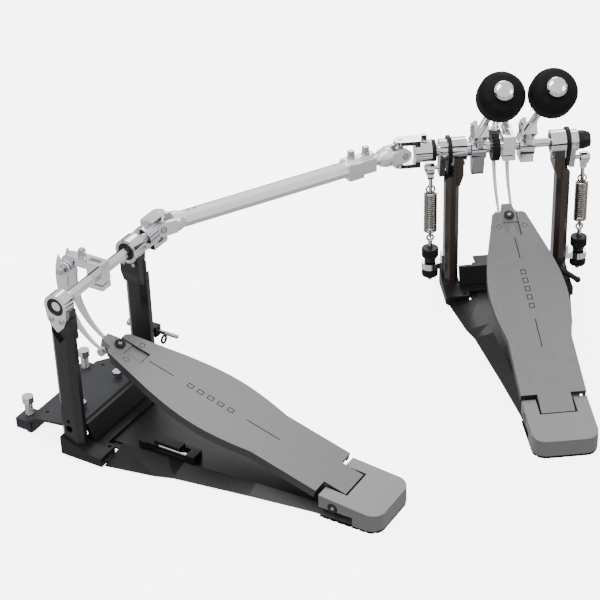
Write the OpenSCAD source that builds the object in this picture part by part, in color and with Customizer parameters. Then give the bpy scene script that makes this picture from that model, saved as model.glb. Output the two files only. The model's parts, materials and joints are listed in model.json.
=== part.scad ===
// Twin bass drum pedal with direct-drive links.
// Frame: the origin is on the floor under the middle of the main axle, +X is the player's right,
// +Y points at the drum and +Z is up. Millimetres.
// Each pedal is drawn in its own frame, which has the same meaning, and the slave pedal is then placed.

/* [Frame] */
// Height of the axle above the floor
axle_z = 178; // [170:1:186]
// Distance from the middle of the pedal to each housing's inner face
housing_in = 46.5; // [45:0.5:48]
// Diameter of the axle
axle_d = 10; // [9.6:0.1:10]

/* [Footboard] */
// Slope of the footboard at rest, degrees
board_slope = 16.2; // [15.5:0.1:17]
// Length of the footboard from its tongue to its toe
board_len = 282; // [278:1:284]
// Half the board's width beside the heel plate
board_heel_w = 33.6; // [31:0.2:34]
// Extra half width where the board is widest
board_bulge = 8.4; // [4:0.2:9]

/* [Heel] */
// Half the width of the heel plate
heel_w = 33.5; // [33:0.1:35]
// Length of the heel plate
heel_len = 64.6; // [62:0.2:68]
// Height of the heel plate's front edge
heel_top = 26.5; // [26:0.1:27]

/* [Beaters] */
// Lean of the beater shafts at rest, degrees from upright
lean = 49; // [48:0.5:53]
// Distance along the shaft from the axle to the middle of the head
beater_reach = 162.4; // [150:0.2:170]
// Radius of the beater head's belt
head_r = 24.2; // [22:0.2:26]

/* [Slave pedal] */
// Place of the slave pedal on the floor, along X
slave_x = -446; // [-450:1:-442]
// Place of the slave pedal on the floor, along Y
slave_y = -204; // [-208:1:-200]
// How far the slave pedal is turned
slave_turn = 53.5; // [52:0.5:55]

/* [Hidden] */
$fn = 48;

axle_r = axle_d / 2;
run = 0.05;                    // running clearance on a radius
eps = 0.01;                    // overlap that joins two shapes

// posts and housings
post_in = 54;  post_out = 69;  post_half_d = 13;
post_top_in = 50;  post_top_out = 61;
post_foot_z = 14;  post_v_z = 136;
housing_r = 13;  bearing_r = 9.5;  bearing_w = 5;
main_out = 62.5;               // behind the spring levers, and on the shaft's side of the slave pedal
cap_in = 57;  cap_out = 70.4;  // the slave pedal's free side
cap_shift = 4;                 // how much further out that post's head is
sleeve_r = 7;

// heel
heel_front = -264.2;  notch_w = 19.2;  notch_d = 23.2;  heel_corner = 14;
heel_fall = 5.1;               // fall of the top towards the back, degrees
hinge_y = -279.4;  hinge_z = 15.8;  hinge_r = 3;

// footboard
tongue_w = 17.1;  tongue_len = 24.4;
board_t = 5;  flange_h = 9;  flange_t = 3;
board_y = -284.9;  board_z = 23.7;
slot_w = 8.7;  slot_s = 246.2;
toe_w = 18;
toe_s = 291.1;  toe_n = -13.8; // the link's lower pivot, in the board's own frame
toe_pin_r = 2.5;

// rocker and links
knuckle_y = 35;  knuckle_z = 178.6;  knuckle_r = 2.5;
eye_y = knuckle_y + 1;  eye_z = knuckle_z - 0.8;  eye_r = 4.2;  // loose eye round the knuckle pin
link_x = 7.4;  link_t = 2.6;
rocker_w = 14;

// beater holders
left_holder_x = -33.5;  right_holder_x = 19.5;
stem_r = 4;  stem_off = 12;    // the stem passes beside the axle

// springs
spring_x = 84.5;  pin_z = axle_z - 21;
coil_r = 6.4;  wire_r = 1;  coil_lo = 76;  coil_hi = 126;
hook_drop = 1.3;

// universal joints
cross_x = 118;                 // main joint's centre, left of the main pedal
slave_cross_x = 105;           // slave joint's centre, right of the slave pedal
cross_r = 3;
slave_joint = [slave_x + slave_cross_x * cos(slave_turn), slave_y + slave_cross_x * sin(slave_turn)];
shaft_turn = atan2(-slave_joint[1], -cross_x - slave_joint[0]);
shaft_len = norm([-cross_x - slave_joint[0], slave_joint[1]]);

// ---------- placing ----------

module on_slave() { translate([slave_x, slave_y, 0]) rotate([0, 0, slave_turn]) children(); }
module both_pedals() { children(); on_slave() children(); }
module both_sides() { children(); mirror([1, 0, 0]) children(); }
// the board's own frame: x across, y along the board from its tongue, z off its top face
module on_board() { translate([0, board_y, board_z]) rotate([board_slope, 0, 0]) children(); }
// a beater's own frame: the axle's centre with z along the stem and y on the stem's side
module on_stem(x) { translate([x, 0, axle_z]) rotate([lean, 0, 0]) children(); }
module on_shaft() {
  translate([slave_joint[0], slave_joint[1], axle_z]) rotate([0, 0, shaft_turn]) children();
}
// a cylinder along X from x0 to x1, at height z and depth y
module bar_x(x0, x1, r, y = 0, z = axle_z, sides = 48) {
  translate([x0, y, z]) rotate([0, 90, 0]) cylinder(h = x1 - x0, r = r, $fn = sides);
}
module ring_x(x0, x1, r, bore, y = 0, z = axle_z) {
  difference() {
    bar_x(x0, x1, r, y, z);
    bar_x(x0 - 1, x1 + 1, bore, y, z);
  }
}
// extrudes a profile drawn as [y, z] from x0 to x1
module yz_plate(x0, x1) {
  translate([x0, 0, 0]) rotate([90, 0, 90]) linear_extrude(height = x1 - x0) children();
}
// a drum-key screw: square head, round flange and shank, with its flange's seat at the origin
module key_screw(shank = 6) {
  cylinder(h = 2, r = 4.6);
  translate([-2.9, -2.9, 2]) cube([5.8, 5.8, 7]);
  if (shank > 0) translate([0, 0, -shank]) cylinder(h = shank + eps, r = 2.4);
}
// a dished screw head with a hexagon socket
module socket_head(r, h, socket = 1.6) {
  difference() {
    cylinder(h = h, r = r);
    translate([0, 0, h - 1.5]) cylinder(h = 2, r = socket, $fn = 6);
  }
}

// ---------- base ----------

module foot_profile() {
  polygon([[12, 2], [12, 22.7], [-14, 14], [-37, 11.6], [-37, 2]]);
}
module post_section(x0, x1, half_d, cut) {
  polygon([[x0, -half_d + cut], [x0 + cut * 0.8, -half_d], [x1 - cut * 0.8, -half_d], [x1, -half_d + cut],
           [x1, half_d - cut], [x1 - cut * 0.8, half_d], [x0 + cut * 0.8, half_d], [x0, half_d - cut]]);
}
module foot() {
  difference() {
    union() {
      yz_plate(53, 72) foot_profile();
      translate([49.8, -32.3, 2]) cylinder(h = 9.6, r = 5.2);
      translate([44.6, -32.3, 2]) cube([9.4, 16.3, 9.6]);
    }
    translate([0, 0, post_foot_z - 8]) linear_extrude(height = 40)
      post_section(post_in, post_out, post_half_d, 6);
    translate([49.8, -32.3, -1]) cylinder(h = 20, r = 1.9);
  }
}
module cross_bar() {
  translate([-53, -27, 2]) cube([106, 10.5, 10]);
  yz_plate(-53, 53) polygon([[-16.6, 2], [-16.6, 14], [-9.6, 33], [-5.6, 33], [-11.5, 14], [-11.5, 2]]);
}
module main_base_casting() {
  color("#26272a") difference() {
    union() {
      both_sides() foot();
      cross_bar();
      // hoop seat in front of the crossbar
      translate([-36, -11.6, 2]) cube([72, 44, 5]);
      yz_plate(-36, -30) polygon([[-10, 7], [-10, 31], [2, 31], [12, 20], [12, 7]]);
      yz_plate(30, 36) polygon([[-10, 7], [-10, 31], [2, 31], [12, 20], [12, 7]]);
    }
    bar_x(-40, 40, 2.55, 6, 14);
  }
}
module slave_base_casting() {
  color("#26272a") on_slave() { both_sides() foot(); cross_bar(); }
}

// sheet from the feet to the heel, raised in the middle and sloping to the floor along both edges
plate_pts = [[69, -38.5], [59, -92], [53, -110], [41, -190], [32, -258], [30.5, -310]];
plate_flat = [36, 34, 32.5, 27, 24, 23];
module plate_slope() {
  n = len(plate_pts);
  outer = [for (i = [0:n - 1]) [plate_pts[i][0], plate_pts[i][1], 2]];
  crest = [for (i = [0:n - 1]) [plate_flat[i], plate_pts[i][1], 9]];
  under = [for (i = [0:n - 1]) [plate_flat[i], plate_pts[i][1], 7]];
  inner = [for (i = [0:n - 1]) [plate_pts[i][0] - 8, plate_pts[i][1], 2]];
  walls = [for (i = [0:n - 2]) for (k = [0:3])
    [k * n + i, k * n + i + 1, ((k + 1) % 4) * n + i + 1, ((k + 1) % 4) * n + i]];
  polyhedron(points = concat(outer, crest, under, inner),
             faces = concat(walls, [[0, n, 2 * n, 3 * n], [n - 1, 4 * n - 1, 3 * n - 1, 2 * n - 1]]));
}
module base_plate() {
  n = len(plate_pts);
  both_sides() plate_slope();
  translate([0, 0, 7]) linear_extrude(height = 2)
    polygon(concat([for (i = [0:n - 1]) [plate_flat[i], plate_pts[i][1]]],
                   [for (i = [n - 1:-1:0]) [-plate_flat[i], plate_pts[i][1]]]));
  // tongue that reaches the crossbar
  translate([-36, -38.6, 7]) cube([72, 11.5, 2]);
  translate([-43.4, -38.6, 5.4]) cube([86.8, 11.5, 2]);
}
module base_plates() { color("#1e1f21") both_pedals() base_plate(); }

// ---------- posts and housings ----------

// shift moves the post's head outwards
module post(shift = 0) {
  top_in = post_top_in + shift;
  top_out = post_top_out + shift;
  difference() {
    union() {
      translate([0, 0, post_foot_z - 8]) linear_extrude(height = 164 - post_foot_z + 8)
        post_section(post_in, post_out, post_half_d, 6);
      rotate([90, 0, 0]) translate([0, 0, -11.6]) linear_extrude(height = 23.2)
        polygon([[post_in, 138], [top_in, 150], [top_in, 172], [top_out, 172], [top_out, 138]]);
    }
    bar_x(40, 80, housing_r);
    // the outer face leans in towards the head
    translate([0, 40, 0]) rotate([90, 0, 0]) linear_extrude(height = 80)
      polygon([[post_out, 143], [top_out, 160], [top_out, 200], [90, 200], [90, 143]]);
    // and is cut back in a V where the housing's tab sits
    yz_plate(top_out, 80)
      polygon([[0, post_v_z], [30, post_v_z + 34], [30, 200], [-30, 200], [-30, post_v_z + 34]]);
    // two fixing holes low on the outer face
    bar_x(60, 80, 1.9, 1, 42.6);
    bar_x(58, 80, 3.9, 1, 33.5);
    // the two housing screws pass through the top
    for (y = [-6, 6]) bar_x(40, 70, 2.25, y, 163);
  }
}
module posts() {
  color("#3a3735") {
    both_sides() post();
    on_slave() { post(); mirror([1, 0, 0]) post(cap_shift); }
  }
}

// a ring from x0 to x1 with a pointed tab down the post's face
module housing(x0, x1, tab_in) {
  difference() {
    union() {
      bar_x(x0, x1, housing_r);
      yz_plate(tab_in, x1)
        polygon([[12.4, 174], [11.4, 165], [8, 157], [1, 149.8],
                 [-1, 149.8], [-8, 157], [-11.4, 165], [-12.4, 174]]);
    }
    bar_x(x0 - 1, x1 + 1, bearing_r);
    for (y = [-6, 6]) bar_x(40, 80, 2.25, y, 163);
  }
}
module bearing_housings() {
  color("#d8dadc") {
    both_sides() housing(housing_in, main_out, post_top_out);
    on_slave() {
      housing(housing_in, main_out, post_top_out);
      mirror([1, 0, 0]) housing(cap_in, cap_out, post_top_out + cap_shift);
    }
  }
}
module bearing_pair(x0, x1, bore) {
  ring_x(x0, x0 + bearing_w, bearing_r, bore);
  ring_x(x1 - bearing_w - 1, x1 - 1, bearing_r, bore);
}
module bearings() {
  color("#9a9da1") {
    bearing_pair(housing_in, main_out, axle_r + run);
    mirror([1, 0, 0]) bearing_pair(housing_in, main_out, sleeve_r + run);
    on_slave() {
      bearing_pair(housing_in, main_out, axle_r + run);
      mirror([1, 0, 0]) bearing_pair(cap_in, cap_out, axle_r + run);
    }
  }
}
module housing_screws(x0, x1, head) {
  for (y = [-6, 6]) {
    bar_x(x0, x1, 2.25, y, 163);
    translate([x1 - eps, y, 163]) rotate([0, 90, 0]) socket_head(3.1, head, 1.4);
  }
}
module hinge_pin() {
  bar_x(-heel_w + 2, heel_w - 2, hinge_r, hinge_y, hinge_z);
  both_sides() translate([heel_w - 2 - eps, hinge_y, hinge_z]) rotate([0, 90, 0]) socket_head(4.8, 2.4, 2);
}
module outrigger_bolts() {
  for (x = [-31, 31]) translate([x, 13.6, 34.6]) {
    cylinder(h = 4.5, r = 5.4, $fn = 6);
    translate([0, 0, -8]) cylinder(h = 8 + eps, r = 3);
  }
}
module frame_screws() {
  color("#c9cbce") {
    both_pedals() hinge_pin();
    both_sides() housing_screws(post_top_in - 2, main_out, 0.6);
    on_slave() {
      housing_screws(post_top_in - 2, main_out, 0.6);
      mirror([1, 0, 0]) housing_screws(post_top_in + cap_shift - 2, cap_out, 1.4);
      outrigger_bolts();
    }
    // the hoop clamp's pivot pin
    bar_x(-37, 37, 2.5, 6, 14);
  }
}

// ---------- heel ----------

module heel_outline() {
  back = heel_front - heel_len;
  translate([-heel_w, back + heel_corner]) square([2 * heel_w, heel_len - heel_corner]);
  translate([-heel_w + heel_corner, back]) square([2 * (heel_w - heel_corner), heel_corner + 1]);
  for (x = [-1, 1]) translate([x * (heel_w - heel_corner), back + heel_corner]) circle(r = heel_corner);
}
module heel_plate() {
  difference() {
    translate([0, 0, 3]) linear_extrude(height = heel_top) heel_outline();
    // falling top face
    translate([-60, heel_front, heel_top]) rotate([heel_fall, 0, 0]) translate([0, -90, 0])
      cube([120, 120, 30]);
    // notch for the board's tongue
    translate([-notch_w, heel_front - notch_d, 0]) cube([2 * notch_w, notch_d + 1, 40]);
    // hollow that the floor plate runs into
    translate([-31, heel_front - 55, 0]) cube([62, 56, 9.4]);
    translate([-40, heel_front - 36.4, 0]) cube([80, 37, 12.4]);
    bar_x(-50, 50, hinge_r, hinge_y, hinge_z);
    both_sides() bar_x(heel_w - 2.4, 50, 5.4, hinge_y, hinge_z);
  }
}
module heel_plates() { color("#a3a4a6") both_pedals() heel_plate(); }

// ribbed pad under the heel, and rubber under the feet and the crossbar
module heel_pad() {
  difference() {
    linear_extrude(height = 3) offset(delta = -0.6) heel_outline();
    translate([-33, heel_front - 54.6, 1.9]) cube([66, 60, 4]);
    for (i = [0:7]) translate([-60, heel_front - 4 - i * 8, -1]) cube([120, 2.4, 1.8]);
  }
}
module foot_pads() {
  both_sides() difference() {
    translate([45, -36, 0]) cube([25, 46, 2]);
    translate([49.8, -32.3, -1]) cylinder(h = 4, r = 1.9);
  }
  translate([-40, -26, 0]) cube([80, 34, 2]);
}
module rubber_pads() { color("#161616") both_pedals() { heel_pad(); foot_pads(); } }

// ---------- footboard ----------

// half width of the board at distance s from its tongue's end
function board_w(s) =
  s < 98 ? board_heel_w :
  s > 222 ? board_heel_w - (board_heel_w - toe_w) * (s - 222) / (board_len - 222) :
  board_heel_w + board_bulge * cos(90 * (s - 160) / 62);
board_s = concat([tongue_len], [for (s = [98:8:222]) s], [board_len - 3]);
module board_outline(inset) {
  polygon(concat([for (s = board_s) [board_w(s) - inset, s]], [[toe_w - 3 - inset, board_len]],
                 [[-toe_w + 3 + inset, board_len]],
                 [for (i = [len(board_s) - 1:-1:0]) [-board_w(board_s[i]) + inset, board_s[i]]]));
}
module footboard() {
  difference() {
    union() {
      on_board() translate([0, 0, -board_t]) linear_extrude(height = board_t) {
        board_outline(0);
        translate([-tongue_w, 0]) square([2 * tongue_w, tongue_len + 1]);
      }
      on_board() difference() {
        translate([0, 0, -flange_h]) linear_extrude(height = flange_h - 1) board_outline(0);
        translate([0, 0, -flange_h - 1]) linear_extrude(height = flange_h + 1) board_outline(flange_t);
        translate([-60, board_len - 8, -30]) cube([120, 20, 25]);
      }
      // stiffening ribs that carry the toe slider
      on_board() for (x = [-1, 1]) translate([x * 12.5 - 1.5, 232, -flange_h]) cube([3, 46, flange_h - 1]);
      // hinge barrel under the tongue
      bar_x(-tongue_w + 0.4, tongue_w - 0.4, 5.6, hinge_y, hinge_z);
      translate([-tongue_w + 2, hinge_y - 3, hinge_z]) cube([2 * tongue_w - 4, 8, 7]);
    }
    bar_x(-60, 60, hinge_r + run, hinge_y, hinge_z);
    // slot for the toe slider
    on_board() translate([-slot_w, slot_s, -30]) cube([2 * slot_w, 60, 40]);
    // centre lines and a plain mark between them
    on_board() {
      for (s = [[86, 125], [212, 242]]) translate([-0.6, s[0], -0.5]) cube([1.2, s[1] - s[0], 2]);
      for (s = [140:12:198]) translate([-3, s, -0.5]) difference() {
        cube([6, 7, 2]);
        translate([1, 1, -1]) cube([4, 5, 4]);
      }
      for (x = [-14, 14]) translate([x, 260, 0]) {
        translate([0, 0, -8]) cylinder(h = 20, r = 2.6);
        translate([0, 0, -0.8]) cylinder(h = 2, r = 3.2);
      }
    }
  }
}
module main_footboard() { color("#a2a3a5") footboard(); }
module slave_footboard() { color("#a2a3a5") on_slave() footboard(); }

// sliding block in the toe slot, with its scale and the lug for the links
module toe_slider() {
  difference() {
    union() {
      on_board() translate([-8.4, 248, -9]) cube([16.8, 36, 6.5]);
      on_board() translate([-8.4, 268, -9]) cube([16.8, 16, 7.6]);
      on_board() translate([0, 0, -9]) linear_extrude(height = 7.6)
        polygon([[-8.4, 283], [8.4, 283], [5.4, 296], [-5.4, 296]]);
      on_board() translate([-5, 282, toe_n - 2]) cube([10, 14, 8]);
      on_board() translate([-5, toe_s, toe_n]) rotate([0, 90, 0]) cylinder(h = 10, r = 5);
    }
    on_board() translate([-20, toe_s, toe_n]) rotate([0, 90, 0]) cylinder(h = 40, r = toe_pin_r);
    on_board() translate([0, 277.5, -12]) cylinder(h = 20, r = 3);
    // scale marks
    on_board() for (i = [0:3]) for (x = [-6.4, 3.4]) translate([x, 252 + i * 3.4, -2.9]) cube([3, 0.7, 2]);
  }
}
module main_toe_slider() { color("#97989a") toe_slider(); }
module slave_toe_slider() { color("#97989a") on_slave() toe_slider(); }

module toe_fasteners() {
  on_board() {
    translate([0, 277.5, -1.4]) socket_head(5.5, 2.4, 2.2);
    translate([0, 277.5, -9]) cylinder(h = 7.7, r = 3);
    for (x = [-14, 14]) translate([x, 260, -8]) cylinder(h = 8.2, r = 2.6);
    translate([-12, toe_s, toe_n]) rotate([0, 90, 0]) cylinder(h = 24, r = toe_pin_r);
    for (x = [-12, 9.6]) translate([x, toe_s, toe_n]) rotate([0, 90, 0]) cylinder(h = 2.4, r = 4.4);
  }
}
module main_toe_fasteners() { color("#3b3c3e") toe_fasteners(); }
module slave_toe_fasteners() { color("#3b3c3e") on_slave() toe_fasteners(); }

// ---------- links and rocker ----------

toe_pin_y = board_y + toe_s * cos(board_slope) - toe_n * sin(board_slope);
toe_pin_z = board_z + toe_s * sin(board_slope) + toe_n * cos(board_slope);

// one sickle-shaped link: two circles of different radius, cut off at the line between its eyes
module link_profile() {
  chord = [eye_y - toe_pin_y, eye_z - toe_pin_z];
  span = norm(chord);
  turn = atan2(chord[1], chord[0]);
  translate([toe_pin_y, toe_pin_z]) rotate(turn) difference() {
    union() {
      difference() {
        translate([span / 2 + 7, 55]) circle(r = 78, $fn = 128);
        translate([span / 2 - 4, 59]) circle(r = 72, $fn = 128);
        translate([-100, 0]) square([400, 400]);
      }
      circle(r = 4.6);
      translate([span, 0]) circle(r = 6.4);
    }
    circle(r = toe_pin_r + run);
    translate([span, 0]) circle(r = eye_r);
  }
}
module link_arms() {
  both_sides() yz_plate(link_x - link_t / 2, link_x + link_t / 2) link_profile();
}
module main_link_arms() { color("#dcdddf") link_arms(); }
module slave_link_arms() { color("#dcdddf") on_slave() link_arms(); }

// clamp on the axle with an arm that carries the knuckle pin
module rocker_arm(bore_r, sides) {
  half = rocker_w / 2;
  difference() {
    union() {
      yz_plate(-half, half) {
        polygon([[-9, 163], [-9, 192], [33, 192], [40, 186], [40, 183.5], [9, 183.5], [9, 163]]);
        translate([33, 185]) circle(r = 7);
      }
      bar_x(-5.4, 5.4, 5.6, knuckle_y, knuckle_z);
      translate([-5.4, knuckle_y - 5.6, knuckle_z]) cube([10.8, 10.8, 8]);
    }
    bar_x(-20, 20, bore_r, sides = sides);
    bar_x(-20, 20, knuckle_r, knuckle_y, knuckle_z);
    // the links swing in the space beside the knuckle boss
    for (x = [-1, 1]) translate([x * 8.5 - 3, 23, knuckle_z - 20]) cube([6, 28, 40]);
    // slot along the top and the clamp's split
    translate([-2.6, -5, 186]) cube([5.2, 14, 8]);
    translate([-9, -10, 168.8]) cube([18, 20, 1.2]);
    translate([0, 18, 170]) cylinder(h = 30, r = 2.4);
    for (y = [-6.4, 6.4]) translate([0, y, 160]) cylinder(h = 4, r = 1.6);
  }
}
module main_rocker_arm() { color("#cfd1d3") rocker_arm(axle_r, 48); }
module slave_rocker_arm() { color("#cfd1d3") on_slave() rocker_arm(axle_r / cos(30), 6); }

module rocker_screws() {
  translate([0, 18, 192]) key_screw(9);
  bar_x(-11.4, 11.4, knuckle_r, knuckle_y, knuckle_z);
  bar_x(9.4, 11.4, 4, knuckle_y, knuckle_z);
  translate([-9.4, knuckle_y, knuckle_z]) rotate([0, -90, 0]) key_screw(1);
}
module main_rocker_screws() { color("#c4c6c9") rocker_screws(); }
module slave_rocker_screws() { color("#c4c6c9") on_slave() rocker_screws(); }

// ---------- main axle group ----------

module main_axle() {
  color("#d6d8da") union() {
    bar_x(-62, 88, axle_r);
    bar_x(7.4, 11.2, axle_r + 1.4);
  }
}
// holder that clamps a beater stem beside the axle; the left one has a tongue that hangs below
holder_half = 8;  block_half = 7.4;  hub_r = 12.4;
module beater_holder(x, bore, tongue) {
  difference() {
    union() {
      bar_x(x - holder_half, x + holder_half, hub_r);
      on_stem(x) translate([-block_half, 2, 4]) cube([2 * block_half, 19, 31]);
      if (tongue) {
        yz_plate(x - 6.6, x + 6.6) polygon([[-11, 174], [-5.4, 151], [5.4, 151], [11, 174]]);
        bar_x(x - 6.6, x + 6.6, 5.6, 0, 151);
      } else {
        translate([x - block_half, -9.4, 160]) cube([2 * block_half, 18.8, 12]);
      }
    }
    bar_x(x - 20, x + 20, bore);
    on_stem(x) {
      translate([0, stem_off, -60]) cylinder(h = 120, r = stem_r);
      // open jaw in front of the stem
      translate([-3.4, stem_off + 1, 12]) cube([6.8, 20, 40]);
      translate([-20, 14, 1]) cube([40, 20, 6]);
    }
  }
}
module right_beater_holder() { color("#cdced1") beater_holder(right_holder_x, axle_r, false); }
module holder_screws(x) {
  on_stem(x) {
    translate([-block_half, stem_off + 5, 29]) rotate([0, -90, 0]) cylinder(h = 2, r = 3.6);
    translate([block_half, stem_off + 5, 29]) rotate([0, 90, 0]) cylinder(h = 1.6, r = 3.6);
    translate([0, 2, 20]) rotate([90, 0, 0]) key_screw(0);
  }
}
module right_holder_screws() { color("#bfc1c4") holder_screws(right_holder_x); }

module beater_stem(x, tail) {
  on_stem(x) translate([0, stem_off, 0]) {
    translate([0, 0, -tail]) cylinder(h = beater_reach + tail + 22, r = stem_r);
    translate([0, 0, beater_reach + 20.6]) cylinder(h = 3.4, r = 10.2);
    translate([0, 0, beater_reach + 24]) cylinder(h = 1.6, r1 = 10.2, r2 = 8.8);
  }
}
module beater_head(x) {
  on_stem(x) translate([0, stem_off, beater_reach]) rotate_extrude($fn = 72)
    polygon([[stem_r, -23.6], [10.6, -23.6], [18.8, -17], [head_r - 1, -11.6],
             [head_r, -8.6], [head_r, 8.6], [head_r - 1, 11.6], [18.6, 16.6],
             [10.8, 20.6], [10.8, 23], [10.2, 23], [10.2, 20.6], [stem_r, 20.6]]);
}
module right_beater_stem() { color("#d8dadc") beater_stem(right_holder_x, 12); }
module right_beater_head() { color("#18181a") beater_head(right_holder_x); }

// lever that pulls the spring, drawn on the right; its tongue starts at x0
module spring_lever(bore, x0) {
  difference() {
    union() {
      bar_x(67.4, 76, 12);
      yz_plate(x0, x0 + 6.2) polygon([[-10.5, 172], [-6, 148], [6, 148], [10.5, 172]]);
      bar_x(x0 + 5, 91.4, 2.5, 0, pin_z);
      bar_x(90.4, 91.4, 4, 0, pin_z);
    }
    bar_x(60, 84, bore);
    translate([71.6, -14, axle_z]) rotate([-90, 0, 0]) cylinder(h = 5, r = 3.2);
  }
  // separate black washer plate behind the lever
  difference() {
    union() {
      bar_x(63.6, 67.2, 15.5);
      yz_plate(63.6, 67.2) polygon([[-14, 172], [-7, 150.5], [7, 150.5], [14, 172]]);
    }
    bar_x(60, 84, bore);
  }
}
module right_spring_lever() { color("#c8cacc") spring_lever(axle_r, 67.4); }
module axle_end_cap() {
  color("#17171a") difference() {
    union() {
      bar_x(76.2, 82.5, 10.4);
      translate([82.5 - eps, 0, axle_z]) rotate([0, 90, 0]) cylinder(h = 7.5, r1 = 10.4, r2 = 8);
    }
    bar_x(70, 88, axle_r);
  }
}

// ---------- slave axle and drive shaft ----------

module slave_axle() {
  color("#d2d4d6") on_slave() {
    bar_x(-45.5, 45.5, axle_r / cos(30), sides = 6);
    bar_x(-69, -45.5 + eps, axle_r);
    bar_x(45.5 - eps, 84, axle_r);
  }
}
// fork with upright ears; the joint's centre is at the origin and the block lies towards +x
module fork_block(block_end, bore) {
  difference() {
    union() {
      translate([15.5, 0, 0]) rotate([0, 90, 0]) cylinder(h = block_end - 15.5, r = 12);
      for (z = [-1, 1]) {
        translate([0, -7.8, z > 0 ? 11.5 : -16]) cube([17, 15.6, 4.5]);
        translate([0, 0, z > 0 ? 11.5 : -16]) cylinder(h = 4.5, r = 7.8);
        translate([15.5, -7.8, z > 0 ? 7 : -16]) cube([5.5, 15.6, 9]);
      }
    }
    translate([0, 0, -20]) cylinder(h = 40, r = cross_r + run);
    translate([18, 0, 0]) rotate([0, 90, 0]) cylinder(h = 60, r = bore);
    translate([block_end - 8, 0, 0]) cylinder(h = 20, r = 2.4);
  }
  translate([block_end - 8, 0, 11.5]) key_screw(4.2);
}
module main_yoke() { color("#cbccce") translate([-cross_x, 0, axle_z]) fork_block(33.6, sleeve_r); }
module slave_yoke() {
  color("#cbccce") on_slave() translate([slave_cross_x, 0, axle_z]) rotate([0, 0, 180])
    fork_block(32, axle_r);
}
module joint_cross() {
  translate([-4.5, -4.5, -6]) cube([9, 9, 12]);
  cylinder(h = 32.6, r = cross_r, center = true);
  rotate([90, 0, 0]) cylinder(h = 22.4, r = cross_r, center = true);
}
module slave_cross() { color("#b4b6b9") on_shaft() joint_cross(); }
module main_cross() { color("#b4b6b9") on_shaft() translate([shaft_len, 0, 0]) joint_cross(); }

// ears in front and behind; the joint's centre is at the origin and the base lies towards +x
module shaft_fork() {
  difference() {
    union() {
      for (y = [-1, 1]) {
        translate([0, y > 0 ? 6.4 : -11, -7.6]) cube([16, 4.6, 15.2]);
        translate([0, y > 0 ? 11 : -6.4, 0]) rotate([90, 0, 0]) cylinder(h = 4.6, r = 7.6);
      }
      translate([14, 0, 0]) rotate([0, 90, 0]) cylinder(h = 6, r = 11);
      translate([20 - eps, 0, 0]) rotate([0, 90, 0]) cylinder(h = 7, r1 = 11, r2 = 8.6);
    }
    rotate([90, 0, 0]) cylinder(h = 40, r = cross_r + 0.7, center = true);
  }
}
module shaft_tube() {
  color("#d5d6d8") on_shaft() difference() {
    union() {
      shaft_fork();
      translate([26.9, 0, 0]) rotate([0, 90, 0]) cylinder(h = 200, r = 9.2, $fn = 8);
    }
    translate([34, 0, 0]) rotate([0, 90, 0]) cylinder(h = 240, r = 6.05);
    for (x = [33, 41]) translate([x, 0, 0]) cylinder(h = 20, r = 1.6);
  }
}
module shaft_rod() {
  color("#cfd0d2") on_shaft() difference() {
    union() {
      translate([shaft_len, 0, 0]) mirror([1, 0, 0]) shaft_fork();
      translate([150, 0, 0]) rotate([0, 90, 0]) cylinder(h = shaft_len - 150 - 26.9, r = 6);
    }
    for (x = [160:9:258]) translate([x, 0, 2]) cylinder(h = 10, r = 1.3);
  }
}
module shaft_clamp() {
  color("#dedfe1") on_shaft() difference() {
    union() {
      translate([221, -10.5, -10.5]) cube([18, 21, 19]);
      translate([239 - eps, -8.5, -8.5]) cube([17, 17, 16]);
      translate([221, -4.5, 8]) cube([35, 9, 3.5]);
    }
    translate([210, 0, 0]) rotate([0, 90, 0]) cylinder(h = 17, r = 9.2, $fn = 8);
    translate([210, 0, 0]) rotate([0, 90, 0]) cylinder(h = 80, r = 6);
    for (x = [229, 247]) translate([x, 0, 5]) cylinder(h = 20, r = 2.4);
    translate([215, -1, -30]) cube([60, 2, 25]);
  }
}
module shaft_clamp_screws() {
  color("#bcbec1") on_shaft() {
    translate([229, 0, 11.5]) key_screw(2);
    translate([247, 0, 11.5]) key_screw(5);
  }
}

// ---------- left sleeve group on the main pedal ----------

module left_sleeve() {
  color("#c9cbcd") difference() {
    union() {
      bar_x(-100, -10.6, sleeve_r);
      bar_x(-46, -41.8, 9.2);
    }
    bar_x(-64, 0, axle_r + run);
  }
}
module left_beater_holder() { color("#cdced1") beater_holder(left_holder_x, sleeve_r, true); }
module left_holder_screws() { color("#bfc1c4") holder_screws(left_holder_x); }
module thumb_wheel() {
  color("#1a1a1c") difference() {
    bar_x(-19.2, -10.8, 16.3);
    bar_x(-30, 0, sleeve_r);
    for (i = [0:23]) translate([0, 0, axle_z]) rotate([i * 15, 0, 0])
      translate([-30, -0.9, 15.3]) cube([40, 1.8, 3]);
  }
  // separate collar between the yoke and the spring lever
  color("#1a1a1c") ring_x(-83.8, -79.8, 12, sleeve_r);
}
module left_spring_lever() { color("#c8cacc") mirror([1, 0, 0]) spring_lever(sleeve_r, 69.8); }
module left_beater_stem() { color("#d8dadc") beater_stem(left_holder_x, 22); }
module left_beater_head() { color("#18181a") beater_head(left_holder_x); }

// ---------- springs, drawn on the right ----------

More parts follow.
